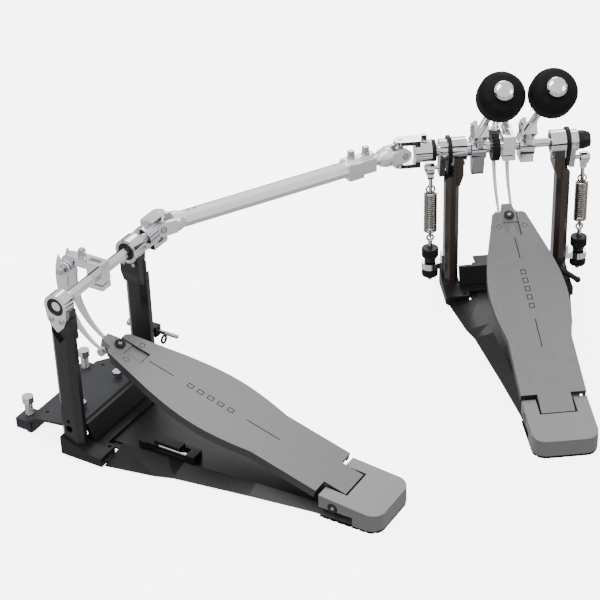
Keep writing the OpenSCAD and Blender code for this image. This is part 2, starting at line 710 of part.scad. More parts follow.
module spring_rod() {
  translate([spring_x, 0, 15]) cylinder(h = 51, r = 2.4);
  translate([spring_x, 0, 69]) rotate([90, 0, 0]) rotate_extrude()
    translate([3.6, 0]) circle(r = 1.2, $fn = 20);
}
module spring_knobs() {
  difference() {
    translate([spring_x, 0, 0]) {
      translate([0, 0, 45]) cylinder(h = 11, r = 9.4);
      translate([0, 0, 39]) cylinder(h = 6 + eps, r = 6.4);
      translate([0, 0, 20.3]) cylinder(h = 9, r = 9.2);
    }
    translate([spring_x, 0, 0]) cylinder(h = 90, r = 2.4);
  }
}
module coil_spring() {
  translate([spring_x, 0, coil_lo]) difference() {
    cylinder(h = coil_hi - coil_lo, r = coil_r + wire_r);
    translate([0, 0, -1]) cylinder(h = coil_hi - coil_lo + 2, r = coil_r - wire_r);
  }
}
module spring_hook() {
  difference() {
    union() {
      bar_x(81, 89.6, 6.6, 0, pin_z - hook_drop);
      translate([spring_x - 3.4, -3, pin_z - 13]) cube([7, 6, 8]);
    }
    bar_x(79, 92, 4.2, 0, pin_z - hook_drop);
  }
  translate([spring_x, 0, coil_hi + 0.4]) cylinder(h = pin_z - 12.5 - coil_hi, r = 2.2);
}
module right_spring_rod() { color("#c2c4c7") spring_rod(); }
module right_spring_knobs() { color("#161618") spring_knobs(); }
module right_coil_spring() { color("#b9bbbd") coil_spring(); }
module right_spring_hook() { color("#c2c4c7") spring_hook(); }
module left_spring_rod() { color("#c2c4c7") mirror([1, 0, 0]) spring_rod(); }
module left_spring_knobs() { color("#161618") mirror([1, 0, 0]) spring_knobs(); }
module left_coil_spring() { color("#b9bbbd") mirror([1, 0, 0]) coil_spring(); }
module left_spring_hook() { color("#c2c4c7") mirror([1, 0, 0]) spring_hook(); }

module spring_bracket() {
  difference() {
    union() {
      translate([post_out, -6, 30.6]) cube([15.5, 12, 7.4]);
      translate([spring_x, 0, 30.6]) cylinder(h = 7.4, r = 9.6);
      translate([post_out, -6, 30.6]) cube([3, 12, 17]);
      bar_x(66, post_out + eps, 3.9, 1, 33.5);
    }
    translate([spring_x, 0, 20]) cylinder(h = 20, r = 3.6);
    bar_x(60, 80, 1.9, 1, 42.6);
  }
}
module spring_brackets() { color("#cdcfd1") both_sides() spring_bracket(); }

// ---------- slave outrigger, clips and hoop clamp ----------

module outrigger_plate() {
  color("#35363a") on_slave() difference() {
    union() {
      // sloping sheet with a rolled back edge and a folded front bar
      yz_plate(-50, 50) polygon([[-4.6, 31], [-4.6, 34.4], [22, 30.4], [22, 27.2]]);
      bar_x(-50, 50, 2.3, -3, 32.7);
      yz_plate(-62, 62) polygon([[14, 28], [14, 31.3], [48, 26], [66, 15.8], [66, 12.8], [46.5, 23.8]]);
      for (x = [-59, 37]) translate([x, 58, 3]) cube([22, 21, 11.6]);
      translate([-60.5, 59, 3]) cube([121, 5, 13]);
    }
    for (x = [-48, 48]) {
      translate([x, 69, -5]) cylinder(h = 40, r = 4.05);
      translate([x, 45, 10]) cylinder(h = 40, r = 2);
    }
    for (x = [-31, 31]) translate([x, 13.6, 20]) cylinder(h = 30, r = 3);
  }
}
// black cradle under the board for a drum key, and a clip with a ring on the right post
module tool_holders() {
  color("#141416") on_slave() {
    difference() {
      union() {
        translate([-33, -122, 9]) cube([15, 62, 9]);
        translate([-25.5, -62, 9]) cylinder(h = 9, r = 9);
        translate([-31, -104, 17.8]) cube([11, 30, 4]);
      }
      translate([-40, -112, 13]) cube([18.4, 34, 5]);
    }
    difference() {
      translate([post_out, -12, 66]) cube([9, 9, 12]);
      translate([73.4, -20, 72]) rotate([-90, 0, 0]) cylinder(h = 20, r = 2.2);
    }
    translate([76.6, -15.6, 61]) rotate([90, 0, 0]) rotate_extrude()
      translate([4, 0]) circle(r = 1.3, $fn = 20);
  }
}
module stored_keys() {
  color("#d0d2d4") on_slave() {
    translate([-29, -112, 15.5]) rotate([-90, 0, 0]) cylinder(h = 34, r = 1.9);
    translate([73.4, -36, 72]) rotate([-90, 0, 0]) cylinder(h = 60, r = 2.2);
    translate([73.4, 20, 72]) rotate([-90, 0, 0]) cylinder(h = 6, r = 4);
  }
}
// spur bolts in the outrigger's two front blocks
module spur(x) {
  on_slave() translate([x, 69, 0]) {
    translate([0, 0, 7]) cylinder(h = 25, r = 3.95);
    translate([0, 0, 3]) cylinder(h = 4, r1 = 0.8, r2 = 3.95);
    translate([0, 0, 31]) cylinder(h = 7, r = 6);
  }
}
module left_spur() { color("#bfc1c4") spur(-48); }
module right_spur() { color("#bfc1c4") spur(48); }
module hoop_clamp_jaw() {
  color("#46474b") difference() {
    union() {
      yz_plate(-29.4, 29.4)
        polygon([[-4, 16], [-4, 28], [10, 28], [34, 20], [34, 16.5], [12, 20], [10, 11], [2, 11]]);
      bar_x(-29.4, 29.4, 5, 6, 14);
    }
    bar_x(-40, 40, 2.55, 6, 14);
  }
}
module hoop_clamp_screw() {
  color("#202023") translate([58, -21, 29]) rotate([0, 128, 0]) {
    cylinder(h = 31, r = 3);
    translate([0, 0, 1]) cylinder(h = 6, r = 4.6);
    translate([0, 0, 27]) cylinder(h = 3, r = 3.6);
  }
}

// ---------- draw ----------

main_base_casting();
slave_base_casting();
base_plates();
posts();
bearing_housings();
bearings();
frame_screws();
heel_plates();
rubber_pads();
spring_brackets();
outrigger_plate();
tool_holders();
stored_keys();
left_spur();
right_spur();
hoop_clamp_jaw();
hoop_clamp_screw();
main_footboard();
main_toe_slider();
main_toe_fasteners();
main_link_arms();
main_axle();
main_rocker_arm();
main_rocker_screws();
right_beater_holder();
right_holder_screws();
right_spring_lever();
axle_end_cap();
right_beater_stem();
right_beater_head();
slave_footboard();
slave_toe_slider();
slave_toe_fasteners();
slave_link_arms();
slave_axle();
slave_rocker_arm();
slave_rocker_screws();
slave_yoke();
slave_cross();
shaft_tube();
shaft_clamp();
shaft_clamp_screws();
shaft_rod();
main_cross();
main_yoke();
left_sleeve();
left_beater_holder();
left_holder_screws();
thumb_wheel();
left_spring_lever();
left_beater_stem();
left_beater_head();
right_spring_rod();
right_spring_knobs();
right_coil_spring();
right_spring_hook();
left_spring_rod();
left_spring_knobs();
left_coil_spring();
left_spring_hook();
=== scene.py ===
"""Twin bass drum pedal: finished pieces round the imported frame, laid out as an add-on."""

import json
import math

import bmesh
import bpy
from bpy.props import FloatProperty, FloatVectorProperty, IntProperty, PointerProperty
from bpy.types import Operator, Panel, PropertyGroup
from mathutils import Matrix, Vector

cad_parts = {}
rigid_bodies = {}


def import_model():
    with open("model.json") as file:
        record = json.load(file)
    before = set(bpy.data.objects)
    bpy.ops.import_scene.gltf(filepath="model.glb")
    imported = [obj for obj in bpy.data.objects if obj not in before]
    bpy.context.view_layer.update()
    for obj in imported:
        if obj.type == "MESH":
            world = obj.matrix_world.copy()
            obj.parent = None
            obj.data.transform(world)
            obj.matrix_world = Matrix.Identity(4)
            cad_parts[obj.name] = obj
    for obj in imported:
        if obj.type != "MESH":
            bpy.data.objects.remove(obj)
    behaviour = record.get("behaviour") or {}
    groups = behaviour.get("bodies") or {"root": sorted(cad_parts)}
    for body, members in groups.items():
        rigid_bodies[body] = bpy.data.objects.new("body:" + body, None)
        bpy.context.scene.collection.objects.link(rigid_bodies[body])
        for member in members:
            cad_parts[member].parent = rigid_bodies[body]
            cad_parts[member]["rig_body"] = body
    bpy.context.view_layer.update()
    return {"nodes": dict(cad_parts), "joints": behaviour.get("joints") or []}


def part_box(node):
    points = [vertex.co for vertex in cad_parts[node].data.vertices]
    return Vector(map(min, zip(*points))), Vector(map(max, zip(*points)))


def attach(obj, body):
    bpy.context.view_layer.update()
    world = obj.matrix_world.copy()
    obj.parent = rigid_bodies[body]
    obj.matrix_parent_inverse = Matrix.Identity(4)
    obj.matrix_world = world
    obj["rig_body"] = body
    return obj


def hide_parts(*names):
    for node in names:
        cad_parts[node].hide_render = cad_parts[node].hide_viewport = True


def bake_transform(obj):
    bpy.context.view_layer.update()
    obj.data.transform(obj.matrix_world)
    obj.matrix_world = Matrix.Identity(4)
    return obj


bl_info = {
    "name": "Twin bass drum pedal",
    "version": (1, 0, 0),
    "blender": (4, 5, 0),
    "location": "3D View > Sidebar > Pedal",
    "description": "Finishes a twin bass drum pedal: castings, boards, beaters, springs and shaft",
    "category": "Object",
}

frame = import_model()
MM = 0.001


# ---------- the frame's places ----------


def middle(node):
    low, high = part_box(node)
    return (low + high) / 2


def joint(name):
    return next(j for j in frame["joints"] if j["name"] == name)


AXLE = Vector(joint("main_axle_turn")["pos_m"])
SLAVE_AXLE = Vector(joint("slave_axle_turn")["pos_m"])
SLAVE_X = -Vector(joint("slave_axle_turn")["axis"])
SLAVE_TURN = math.atan2(SLAVE_X.y, SLAVE_X.x)
BETWEEN_PEDALS = (SLAVE_AXLE.x + AXLE.x) / 2

# each pedal's own frame: X runs along its axle, Y from heel to toe, and the axle is over 0
ON_MAIN = Matrix.Identity(4)
ON_SLAVE = (Matrix.Translation((SLAVE_AXLE.x, SLAVE_AXLE.y, 0))
            @ Matrix.Rotation(SLAVE_TURN, 4, "Z"))
HEEL_HINGE = Vector((0, *joint("main_board_hinge")["pos_m"][1:]))

# a board's frame on its pedal: Z 0 is its top face, and Y runs up it towards the toe
BOARD_SLOPE = math.radians(16.2)
ON_BOARD = Matrix.Translation((0, -0.2849, 0.0237)) @ Matrix.Rotation(BOARD_SLOPE, 4, "X")

# a beater at rest: how far it leans back, and where its head's middle is from the axle's line,
# along the shaft and square to it
LEAN = math.radians(49)
REACH = 162.4 * MM
STEM_OFF = 12 * MM


# ---------- turned shapes, as (radius, height) points in mm ----------

# a beater's head about its shaft, from its lower face over the rim to the cap's seat
HEAD_PROFILE = [(4, -23.6), (10.6, -23.6), (18.8, -17), (23.2, -11.6), (24.2, -8.6), (24.2, 8.6),
                (23.2, 11.6), (18.6, 16.6), (10.8, 20.6), (10.8, 23), (10.2, 23), (10.2, 20.6),
                (4, 20.6)]
CAP_RADIUS = 9.2
CAP_PROFILE = [(0, 27.1), (2.6, 27), (5.2, 26.6), (7.4, 26.0), (8.9, 25.3), (CAP_RADIUS, 24.6),
               (0, 24.6)]
# the spring's two knobs, at their height over the floor: a grip with a neck below it, and a nut
UPPER_KNOB = [(2.4, 39), (6.4, 39), (6.4, 45), (9.4, 45.01), (9.4, 56), (2.4, 56), (2.4, 39)]
LOWER_KNOB = [(2.4, 20.5), (9.2, 20.5), (9.2, 29.5), (2.4, 29.5), (2.4, 20.5)]


# ---------- where one node has several finishes ----------

SHARP = math.radians(32)  # an edge that turns further than this is rounded and shaded as an edge

PIN_ZONE = 45 * MM  # screws nearer than this to a heel's hinge belong to its pin
PIN_END = 33.5 * MM  # its heads' outer faces are further out than this
PIN_SOCKET = 2.3 * MM  # the radius of their sockets

MARKS_HALF_WIDTH = 3.3 * MM
MARKS_FROM, MARKS_TO = 80 * MM, 243 * MM  # along the board
MARKS_DEPTH = 0.7 * MM
MARKS_FLOOR = 0.1 * MM  # a marked face below this is coloured dark charcoal

TOE_PIN_FROM = 285 * MM  # along the board
RIVETS_FROM = 9 * MM  # on either side of the board's middle
SLIDER_SCREW_AT = 277.5 * MM  # along the board
SLIDER_SOCKET = 2.4 * MM  # its radius
SLIDER_SOCKET_BELOW = 0.4 * MM  # its walls and floor are below this, and the head's top above

WASHER_TO = 67.3 * MM  # a lever's washer plate is nearer than this to the axle's middle


# ---------- the studio ----------

FLOOR_HALF = 12  # metres
FLOOR_GLOW = 5.0

# brightness of the room from far below the horizon to overhead. A grey band low down and a black
# one round the horizon, both broken up by noise, give plated metal something to mirror
ROOM_BANDS = [(0.0, 0.5), (0.12, 0.95), (0.22, 0.9), (0.3, 0.28), (0.38, 0.9), (0.5, 0.95),
              (0.55, 0.01), (0.76, 0.02), (0.8, 0.6), (1.0, 1.15)]
ROOM_PATCHES = 5.5  # noise scale over the unit sphere
ROOM_RAGGED = 1.5  # how far the noise moves the bands up and down

# name, place, width in metres, watts
LAMPS = (("key", (-0.9, -0.4, 2.2), 1.3, 34),
         ("fill", (1.7, -1.4, 1.5), 0.9, 12),
         ("rim", (0.2, 2.0, 1.8), 1.2, 16))
LAMPS_AIM = Vector((-0.2, -0.1, 0.1))

CAMERA_PLACE = (-0.37875, -1.77825, 1.12468)
CAMERA_YAW, CAMERA_PITCH, CAMERA_ROLL = -0.081, 0.558, -0.035  # radians; pitch is downwards
CAMERA_SENSOR, CAMERA_LENS = 36, 112.1  # mm
CAMERA_SHIFT = (0.0034, -0.0138)


# ---------- sizes and colours that a user would change ----------


def srgb(code):
    """The three sRGB parts of a hex value."""
    return tuple(int(code[i:i + 2], 16) / 255 for i in (1, 3, 5))


class PedalSprings(PropertyGroup):
    turns: IntProperty(name="Turns", description="Turns in each coil spring",
                       default=20, min=6, max=30)
    wire: FloatProperty(name="Wire", description="Radius of the spring's wire",
                        default=1.0 * MM, unit="LENGTH")


class PedalHeads(PropertyGroup):
    cap: FloatProperty(name="Cap", description="Radius of the domed chrome cap on each beater",
                       default=CAP_RADIUS * MM, unit="LENGTH")


class PedalEdges(PropertyGroup):
    cast: FloatProperty(name="Cast edge", description="Rounding on the castings' edges",
                        default=0.9 * MM, unit="LENGTH")
    machined: FloatProperty(name="Machined edge",
                            description="Rounding on machined and plated edges",
                            default=0.45 * MM, unit="LENGTH")


class PedalColours(PropertyGroup):
    board: FloatVectorProperty(name="Board", description="Brushed grey of the footboards",
                               subtype="COLOR_GAMMA", size=3, default=srgb("#808082"))
    post: FloatVectorProperty(name="Post", description="Dark bronze of the main pedal's posts",
                              subtype="COLOR_GAMMA", size=3, default=srgb("#362d28"))


class PedalSettings(PropertyGroup):
    springs: PointerProperty(type=PedalSprings)
    heads: PointerProperty(type=PedalHeads)
    edges: PointerProperty(type=PedalEdges)
    colours: PointerProperty(type=PedalColours)


# ---------- colours and nodes ----------


def colour(code, shade=1.0):
    """An sRGB hex value, or its three parts, as a linear colour; shade scales its parts first."""
    parts = srgb(code) if isinstance(code, str) else code
    linear = [part / 12.92 if part <= 0.04045 else ((part + 0.055) / 1.055) ** 2.4
              for part in (min(1, part * shade) for part in parts)]
    return (*linear, 1.0)


def grey(value):
    return (value, value, value, 1.0)


def add(tree, kind, links=(), *, stops=(), to=None, **settings):
    """Adds a node with its settings and returns its outputs.

    links are (socket on it, the output that feeds it or its plain value), stops are a colour
    ramp's (place, linear colour), and to is the socket that its first output feeds."""
    node = tree.nodes.new(kind)
    for name, value in settings.items():
        if hasattr(node, name):
            setattr(node, name, value)
        else:
            node.inputs[name.replace("_", " ")].default_value = value
    for socket, source in links:
        if isinstance(source, bpy.types.NodeSocket):
            tree.links.new(source, node.inputs[socket])
        else:
            node.inputs[socket].default_value = source
    if stops:
        while len(node.color_ramp.elements) < len(stops):
            node.color_ramp.elements.new(0.5)
        for element, (place, value) in zip(node.color_ramp.elements, stops):
            element.position = place
            element.color = value
    if to is not None:
        tree.links.new(node.outputs[0], to)
    return node.outputs


def start(name, base, metallic, roughness, **settings):
    """A new material with its shader's plain values; returns the material, its tree, its shader's
    sockets and the object's own coordinates, in metres."""
    mat = bpy.data.materials.new(name)
    mat.use_nodes = True
    tree = mat.node_tree
    shader = tree.nodes["Principled BSDF"].inputs
    shader["Base Color"].default_value = colour(base)
    shader["Metallic"].default_value = metallic
    shader["Roughness"].default_value = roughness
    for key, value in settings.items():
        shader[key.replace("_", " ")].default_value = value
    return mat, tree, shader, add(tree, "ShaderNodeTexCoord")["Object"]


# ---------- materials ----------


def brushed(name, base, grain_turn, roughness, spread):
    """Brushed sheet: fine scratches along one direction, which smear its highlights across them."""
    mat, tree, shader, where = start(name, base, 0.72, roughness)
    turned = add(tree, "ShaderNodeMapping", [("Vector", where)], Rotation=(0, 0, -grain_turn))
    # scratches 0.8 mm apart and some 90 mm long; real ones are finer than would show
    fine = add(tree, "ShaderNodeMapping", [("Vector", turned["Vector"])], Scale=(1250, 11, 300))
    scratch = add(tree, "ShaderNodeTexNoise", [("Vector", fine["Vector"])],
                  Scale=1.0, Detail=2.0, Roughness=0.6)["Fac"]
    add(tree, "ShaderNodeValToRGB", [("Fac", scratch)], to=shader["Base Color"],
        stops=[(0.32, colour(base, 1 - spread)), (0.68, colour(base, 1 + spread))])
    add(tree, "ShaderNodeValToRGB", [("Fac", scratch)], to=shader["Roughness"],
        stops=[(0.3, grey(roughness - 0.04)), (0.7, grey(roughness + 0.05))])
    add(tree, "ShaderNodeBump", [("Height", scratch)], to=shader["Normal"],
        Strength=0.35, Distance=0.012 * MM)
    return mat


def brushed_grey(turn=0.0):
    """Anodised aluminium, brushed along the board and left satin: a soft grey in faint bands."""
    base = tuple(bpy.context.scene.pedal.colours.board)
    return brushed("brushed grey anodised aluminium", base, turn, 0.44, 0.03)


def shaded_board_side():
    """The board's bevelled edge, sides and underside: the same anodising a little coarser, with its
    grey darkened as painted shade.
    """
    return brushed("board edge grey darkened as painted shade", "#4c4c4c", 0.0, 0.46, 0.05)


def polished(name, base, roughness, waviness=0.012):
    """Polished and plated metal: a mirror with a faint waviness left by the buffing wheel."""
    mat, tree, shader, where = start(name, base, 1.0, roughness)
    wave = add(tree, "ShaderNodeTexNoise", [("Vector", where)],
               Scale=90.0, Detail=2.0)["Fac"]  # 11 mm ripples
    smear = add(tree, "ShaderNodeTexNoise", [("Vector", where)],
                Scale=420.0, Detail=3.0)["Fac"]  # 2.4 mm patches
    add(tree, "ShaderNodeValToRGB", [("Fac", smear)], to=shader["Roughness"],
        stops=[(0.35, grey(roughness * 0.6)), (0.75, grey(roughness * 1.7))])
    add(tree, "ShaderNodeBump", [("Height", wave)], to=shader["Normal"],
        Strength=0.6, Distance=waviness * MM)
    return mat


def chrome():
    """Bright chrome plate over polished steel: near mirror, cold white, sharp reflections."""
    return polished("bright chrome plate", "#e2e3e6", 0.06)


def zinc_plate():
    """Zinc-plated steel screws: bright, but each highlight is a little blurred."""
    return polished("zinc-plated steel", "#c4c6c9", 0.2, 0.02)


def spring_wire():
    """Drawn and plated spring wire: grey steel with a tight highlight along each turn."""
    return polished("plated spring wire", "#98938f", 0.24, 0.01)


def pale_anodised():
    """Silver anodised aluminium tube: pale, almost white, with a silky blurred highlight."""
    mat, tree, shader, where = start("silver anodised aluminium", "#f2f3f5", 0.6, 0.24)
    fine = add(tree, "ShaderNodeTexNoise", [("Vector", where)],
               Scale=1600.0, Detail=2.0)["Fac"]  # 0.6 mm grain
    add(tree, "ShaderNodeValToRGB", [("Fac", fine)], to=shader["Base Color"],
        stops=[(0.3, colour("#eceef0")), (0.7, colour("#f8f8fa"))])
    add(tree, "ShaderNodeBump", [("Height", fine)], to=shader["Normal"],
        Strength=0.3, Distance=0.01 * MM)
    return mat


def powder(name, base, light, roughness, grain=900.0, depth=0.04):
    """Powder or stove paint: a fine orange peel that breaks up the highlight."""
    mat, tree, shader, where = start(name, base, 0.0, roughness, Specular_IOR_Level=0.3)
    peel = add(tree, "ShaderNodeTexNoise", [("Vector", where)],
               Scale=grain, Detail=3.0, Roughness=0.6)["Fac"]
    cloud = add(tree, "ShaderNodeTexNoise", [("Vector", where)],
                Scale=28.0, Detail=2.0)["Fac"]  # 35 mm patches
    add(tree, "ShaderNodeValToRGB", [("Fac", cloud)], to=shader["Base Color"],
        stops=[(0.3, colour(base)), (0.75, colour(light))])
    add(tree, "ShaderNodeValToRGB", [("Fac", peel)], to=shader["Roughness"],
        stops=[(0.3, grey(roughness - 0.06)), (0.7, grey(roughness + 0.08))])
    add(tree, "ShaderNodeBump", [("Height", peel)], to=shader["Normal"],
        Strength=0.6, Distance=depth * MM)
    return mat


def black_casting():
    """Die-cast feet and crossbar in black powder coat: satin, with a fine pebbled skin."""
    return powder("black powder coat on casting", "#131315", "#1b1b1e", 0.4)  # 1.1 mm pebbles


def black_sheet():
    """Floor plates of steel sheet in smooth black stove enamel: darker and a little glossier."""
    return powder("black stove enamel on sheet", "#101012", "#161619", 0.36, 1400.0, 0.02)


def slate_sheet():
    """The outrigger's sheet in a slightly bluish charcoal enamel."""
    return powder("charcoal enamel on sheet", "#26272b", "#2f3035", 0.44, 1100.0, 0.03)


def post_metal(name, base, light):
    """Extruded post, tinted and glossy: long soft reflections run down its flats. light is the
    sRGB shade of its paler drawing lines."""
    mat, tree, shader, where = start(name, base, 0.35, 0.34,
                                     Coat_Weight=0.25, Coat_Roughness=0.15)
    drawn = add(tree, "ShaderNodeMapping", [("Vector", where)], Scale=(700, 700, 9))
    lines = add(tree, "ShaderNodeTexNoise", [("Vector", drawn["Vector"])],
                Scale=1.0, Detail=2.0)["Fac"]  # drawing lines 1.4 mm apart
    add(tree, "ShaderNodeValToRGB", [("Fac", lines)], to=shader["Base Color"],
        stops=[(0.3, colour(base)), (0.72, light)])
    add(tree, "ShaderNodeBump", [("Height", lines)], to=shader["Normal"],
        Strength=0.4, Distance=0.012 * MM)
    return mat


def bronze_post():
    """Main posts: dark bronze anodising under clear lacquer, a brown black that warms in light."""
    warm = tuple(bpy.context.scene.pedal.colours.post)
    return post_metal("dark bronze anodised post", warm, colour(warm, 1.25))


def graphite_post():
    """Slave posts: the same profile in graphite, cooler and nearly black."""
    return post_metal("graphite anodised post", "#1e1e20", colour("#2a2a2d"))


def beater_rubber():
    """Moulded black rubber: matt, with a faint bloom on its skin."""
    mat, tree, shader, where = start("moulded black rubber", "#0d0d0e", 0.0, 0.7,
                                     Specular_IOR_Level=0.15)
    bloom = add(tree, "ShaderNodeTexNoise", [("Vector", where)],
                Scale=120.0, Detail=4.0)["Fac"]  # 8 mm patches
    skin = add(tree, "ShaderNodeTexNoise", [("Vector", where)],
               Scale=2600.0, Detail=2.0)["Fac"]  # 0.4 mm grain
    add(tree, "ShaderNodeValToRGB", [("Fac", bloom)], to=shader["Base Color"],
        stops=[(0.35, colour("#0b0b0c")), (0.8, colour("#18181a"))])
    add(tree, "ShaderNodeBump", [("Height", skin)], to=shader["Normal"],
        Strength=0.6, Distance=0.03 * MM)
    return mat


def knob_plastic():
    """Glass-filled nylon knobs: black, semi-matt, with a slight sparkle from the fibres."""
    mat, tree, shader, where = start("black moulded nylon", "#0f0f11", 0.0, 0.4,
                                     Specular_IOR_Level=0.3)
    fibre = add(tree, "ShaderNodeTexVoronoi", [("Vector", where)],
                Scale=1500.0)["Distance"]  # 0.7 mm flecks
    add(tree, "ShaderNodeValToRGB", [("Fac", fibre)], to=shader["Roughness"],
        stops=[(0.2, grey(0.3)), (0.7, grey(0.5))])
    add(tree, "ShaderNodeBump", [("Height", fibre)], to=shader["Normal"],
        Strength=0.3, Distance=0.02 * MM)
    return mat


def black_oxide():
    """Black-oxide screws: dark grey steel with an oily sheen."""
    mat, tree, shader, where = start("black oxide steel", "#101012", 0.0, 0.36,
                                     Specular_IOR_Level=0.4)
    oil = add(tree, "ShaderNodeTexNoise", [("Vector", where)],
              Scale=500.0, Detail=3.0)["Fac"]  # 2 mm patches
    add(tree, "ShaderNodeValToRGB", [("Fac", oil)], to=shader["Roughness"],
        stops=[(0.3, grey(0.22)), (0.7, grey(0.42))])
    add(tree, "ShaderNodeBump", [("Height", oil)], to=shader["Normal"],
        Strength=0.3, Distance=0.01 * MM)
    return mat


def dark_mark_colour():
    """The board's engraved marks: their walls and floors coloured flat charcoal, faintly mottled.
    """
    mat, tree, shader, where = start("charcoal in the engraved marks", "#232426", 0.0, 0.6)
    fleck = add(tree, "ShaderNodeTexNoise", [("Vector", where)],
                Scale=900.0, Detail=2.0)["Fac"]  # 1.1 mm flecks
    add(tree, "ShaderNodeValToRGB", [("Fac", fleck)], to=shader["Base Color"],
        stops=[(0.3, colour("#1f2022")), (0.8, colour("#2e2f31"))])
    return mat


MADE = {}


def finish_of(maker, *args):
    """The material that maker makes, made once."""
    key = (maker.__name__, *args)
    if key not in MADE:
        MADE[key] = maker(*args)
    return MADE[key]


# ---------- mesh helpers ----------


def linked(name, bm, mats, sharp):
    """Makes a bmesh into an object, shaded smooth but for edges that turn further than sharp."""
    mesh = bpy.data.meshes.new(name)
    bm.to_mesh(mesh)
    bm.free()
    mesh.shade_smooth()
    mesh.set_sharp_from_angle(angle=sharp)
    for mat in mats:
        mesh.materials.append(mat)
    obj = bpy.data.objects.new(name, mesh)
    bpy.context.scene.collection.objects.link(obj)
    return obj


def piece(name, bm, body, mats, *, replaces=(), smooth=40, place=None):
    """Makes a bmesh into a piece that rides on body; mats are its material slots."""
    if place is not None:
        bm.transform(place)
    bmesh.ops.recalc_face_normals(bm, faces=bm.faces)
    obj = linked(name, bm, mats, math.radians(smooth))
    if body:
        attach(obj, body)
    if replaces:
        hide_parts(*replaces)
    return obj


def merged(node):
    """A bmesh copy of a CAD node with its loose triangles joined and its flat faces made whole."""
    bm = bmesh.new()
    bm.from_mesh(frame["nodes"][node].data)
    bmesh.ops.remove_doubles(bm, verts=bm.verts, dist=0.002 * MM)
    bmesh.ops.dissolve_limit(bm, angle_limit=math.radians(1.0), verts=bm.verts, edges=bm.edges)
    return bm


def softened(node, edge, mats, *, pick=None, segments=2, skip=None):
    """A CAD node's shape with its sharp edges rounded by edge, to catch the light as real ones do.

    pick(face centre, face normal) gives the index of the material on each face, and skip(edge's
    middle) is true where an edge stays sharp. Edges of narrow faces stay sharp too, because they
    would hold the wide ones' rounding back."""
    bm = merged(node)
    if pick:
        for face in bm.faces:
            face.material_index = pick(face.calc_center_median(), face.normal)
    weight = bm.edges.layers.float.new("bevel_weight_edge")
    for e in bm.edges:
        centre = (e.verts[0].co + e.verts[1].co) / 2
        sharp = len(e.link_faces) == 2 and e.calc_face_angle(0) > SHARP
        roomy = sharp and min(f.calc_area() for f in e.link_faces) > 2 * edge * e.calc_length()
        if roomy and not (skip and skip(centre)):
            e[weight] = 1
    obj = linked(node + "_finished", bm, mats, SHARP)
    if edge:
        bevel = obj.modifiers.new("edge", "BEVEL")
        bevel.width = edge
        bevel.segments = segments
        bevel.limit_method = "WEIGHT"
        bevel.use_clamp_overlap = True
        bevel.miter_outer = "MITER_ARC"
        # wide faces keep their own shading, and the rounding takes up the turn between them
        shading = obj.modifiers.new("shading", "WEIGHTED_NORMAL")
        shading.keep_sharp = True
        shading.weight = 80
    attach(obj, frame["nodes"][node]["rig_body"])
    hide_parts(node)
    return obj


def spun(profile, steps, knurl=None):
    """A turned shape about Z from (radius, height) points in mm, which run in a closed loop or
    from the axis back to it.

    knurl is (least radius, depth) in mm: on every second step, points further out than that
    radius are drawn in by depth."""
    bm = bmesh.new()
    verts = [bm.verts.new((r * MM, 0, z * MM)) for r, z in profile]
    edges = [bm.edges.new(pair) for pair in zip(verts, verts[1:])]
    bmesh.ops.spin(bm, geom=verts + edges, cent=(0, 0, 0), axis=(0, 0, 1), angle=math.tau,
                   steps=steps, use_merge=True)
    bmesh.ops.remove_doubles(bm, verts=bm.verts, dist=0.001 * MM)
    if knurl:
        least, depth = (value * MM for value in knurl)
        for v in bm.verts:
            radius = math.hypot(v.co.x, v.co.y)
            if radius > least and round(math.atan2(v.co.y, v.co.x) / math.tau * steps) % 2:
                v.co.x *= 1 - depth / radius
                v.co.y *= 1 - depth / radius
    return bm


def rounded(profile, corner, cuts=3):
    """The same profile with its inner corners rounded off by about corner."""
    points = [profile[0]]
    for a, b, c in zip(profile, profile[1:], profile[2:]):
        a, b, c = Vector(a), Vector(b), Vector(c)
        near = min(corner, (a - b).length / 2, (c - b).length / 2)
        p, q = b + (a - b).normalized() * near, b + (c - b).normalized() * near
        for i in range(cuts + 1):
            t = i / cuts
            points.append(tuple((1 - t) ** 2 * p + 2 * t * (1 - t) * b + t * t * q))
    points.append(profile[-1])
    return points


def wire_end(radius, wire, height, sides):
    """A new bmesh with one small ring of wire, at radius from Z and square to its path."""
    bm = bmesh.new()
    ring = bmesh.ops.create_circle(bm, segments=sides, radius=wire)["verts"]
    bmesh.ops.rotate(bm, verts=ring, cent=(0, 0, 0), matrix=Matrix.Rotation(math.pi / 2, 3, "X"))
    bmesh.ops.translate(bm, verts=ring, vec=(radius, 0, height))
    return bm, ring + list(bm.edges)


def coil(radius, wire, low, high, turns, steps=20, sides=8):
    """A helical spring or thread along Z: a ring of wire spun round while it climbs."""
    bm, ring = wire_end(radius, wire, low, sides)
    count = turns * steps
    bmesh.ops.spin(bm, geom=ring, cent=(0, 0, 0), axis=(0, 0, 1),
                   dvec=(0, 0, (high - low) / count), angle=math.tau * turns, steps=count)
    bmesh.ops.holes_fill(bm, edges=[e for e in bm.edges if e.is_boundary], sides=sides)
    return bm


def hoop(radius, wire, axis, centre, steps=28, sides=8):
    """A closed ring of wire about an axis."""
    bm, ring = wire_end(radius, wire, 0, sides)
    bmesh.ops.spin(bm, geom=ring, cent=(0, 0, 0), axis=(0, 0, 1), angle=math.tau, steps=steps,
                   use_merge=True)
    bmesh.ops.remove_doubles(bm, verts=bm.verts, dist=0.001 * MM)
    turn = Vector((0, 0, 1)).rotation_difference(Vector(axis)).to_matrix().to_4x4()
    bm.transform(Matrix.Translation(centre) @ turn)
    return bm


def join(*parts):
    """Several bmeshes as one."""
    whole = bmesh.new()
    for part in parts:
        mesh = bpy.data.meshes.new("part")
        part.to_mesh(mesh)
        part.free()
        whole.from_mesh(mesh)
        bpy.data.meshes.remove(mesh)
    return whole


# ---------- what each face of a node with several finishes is ----------


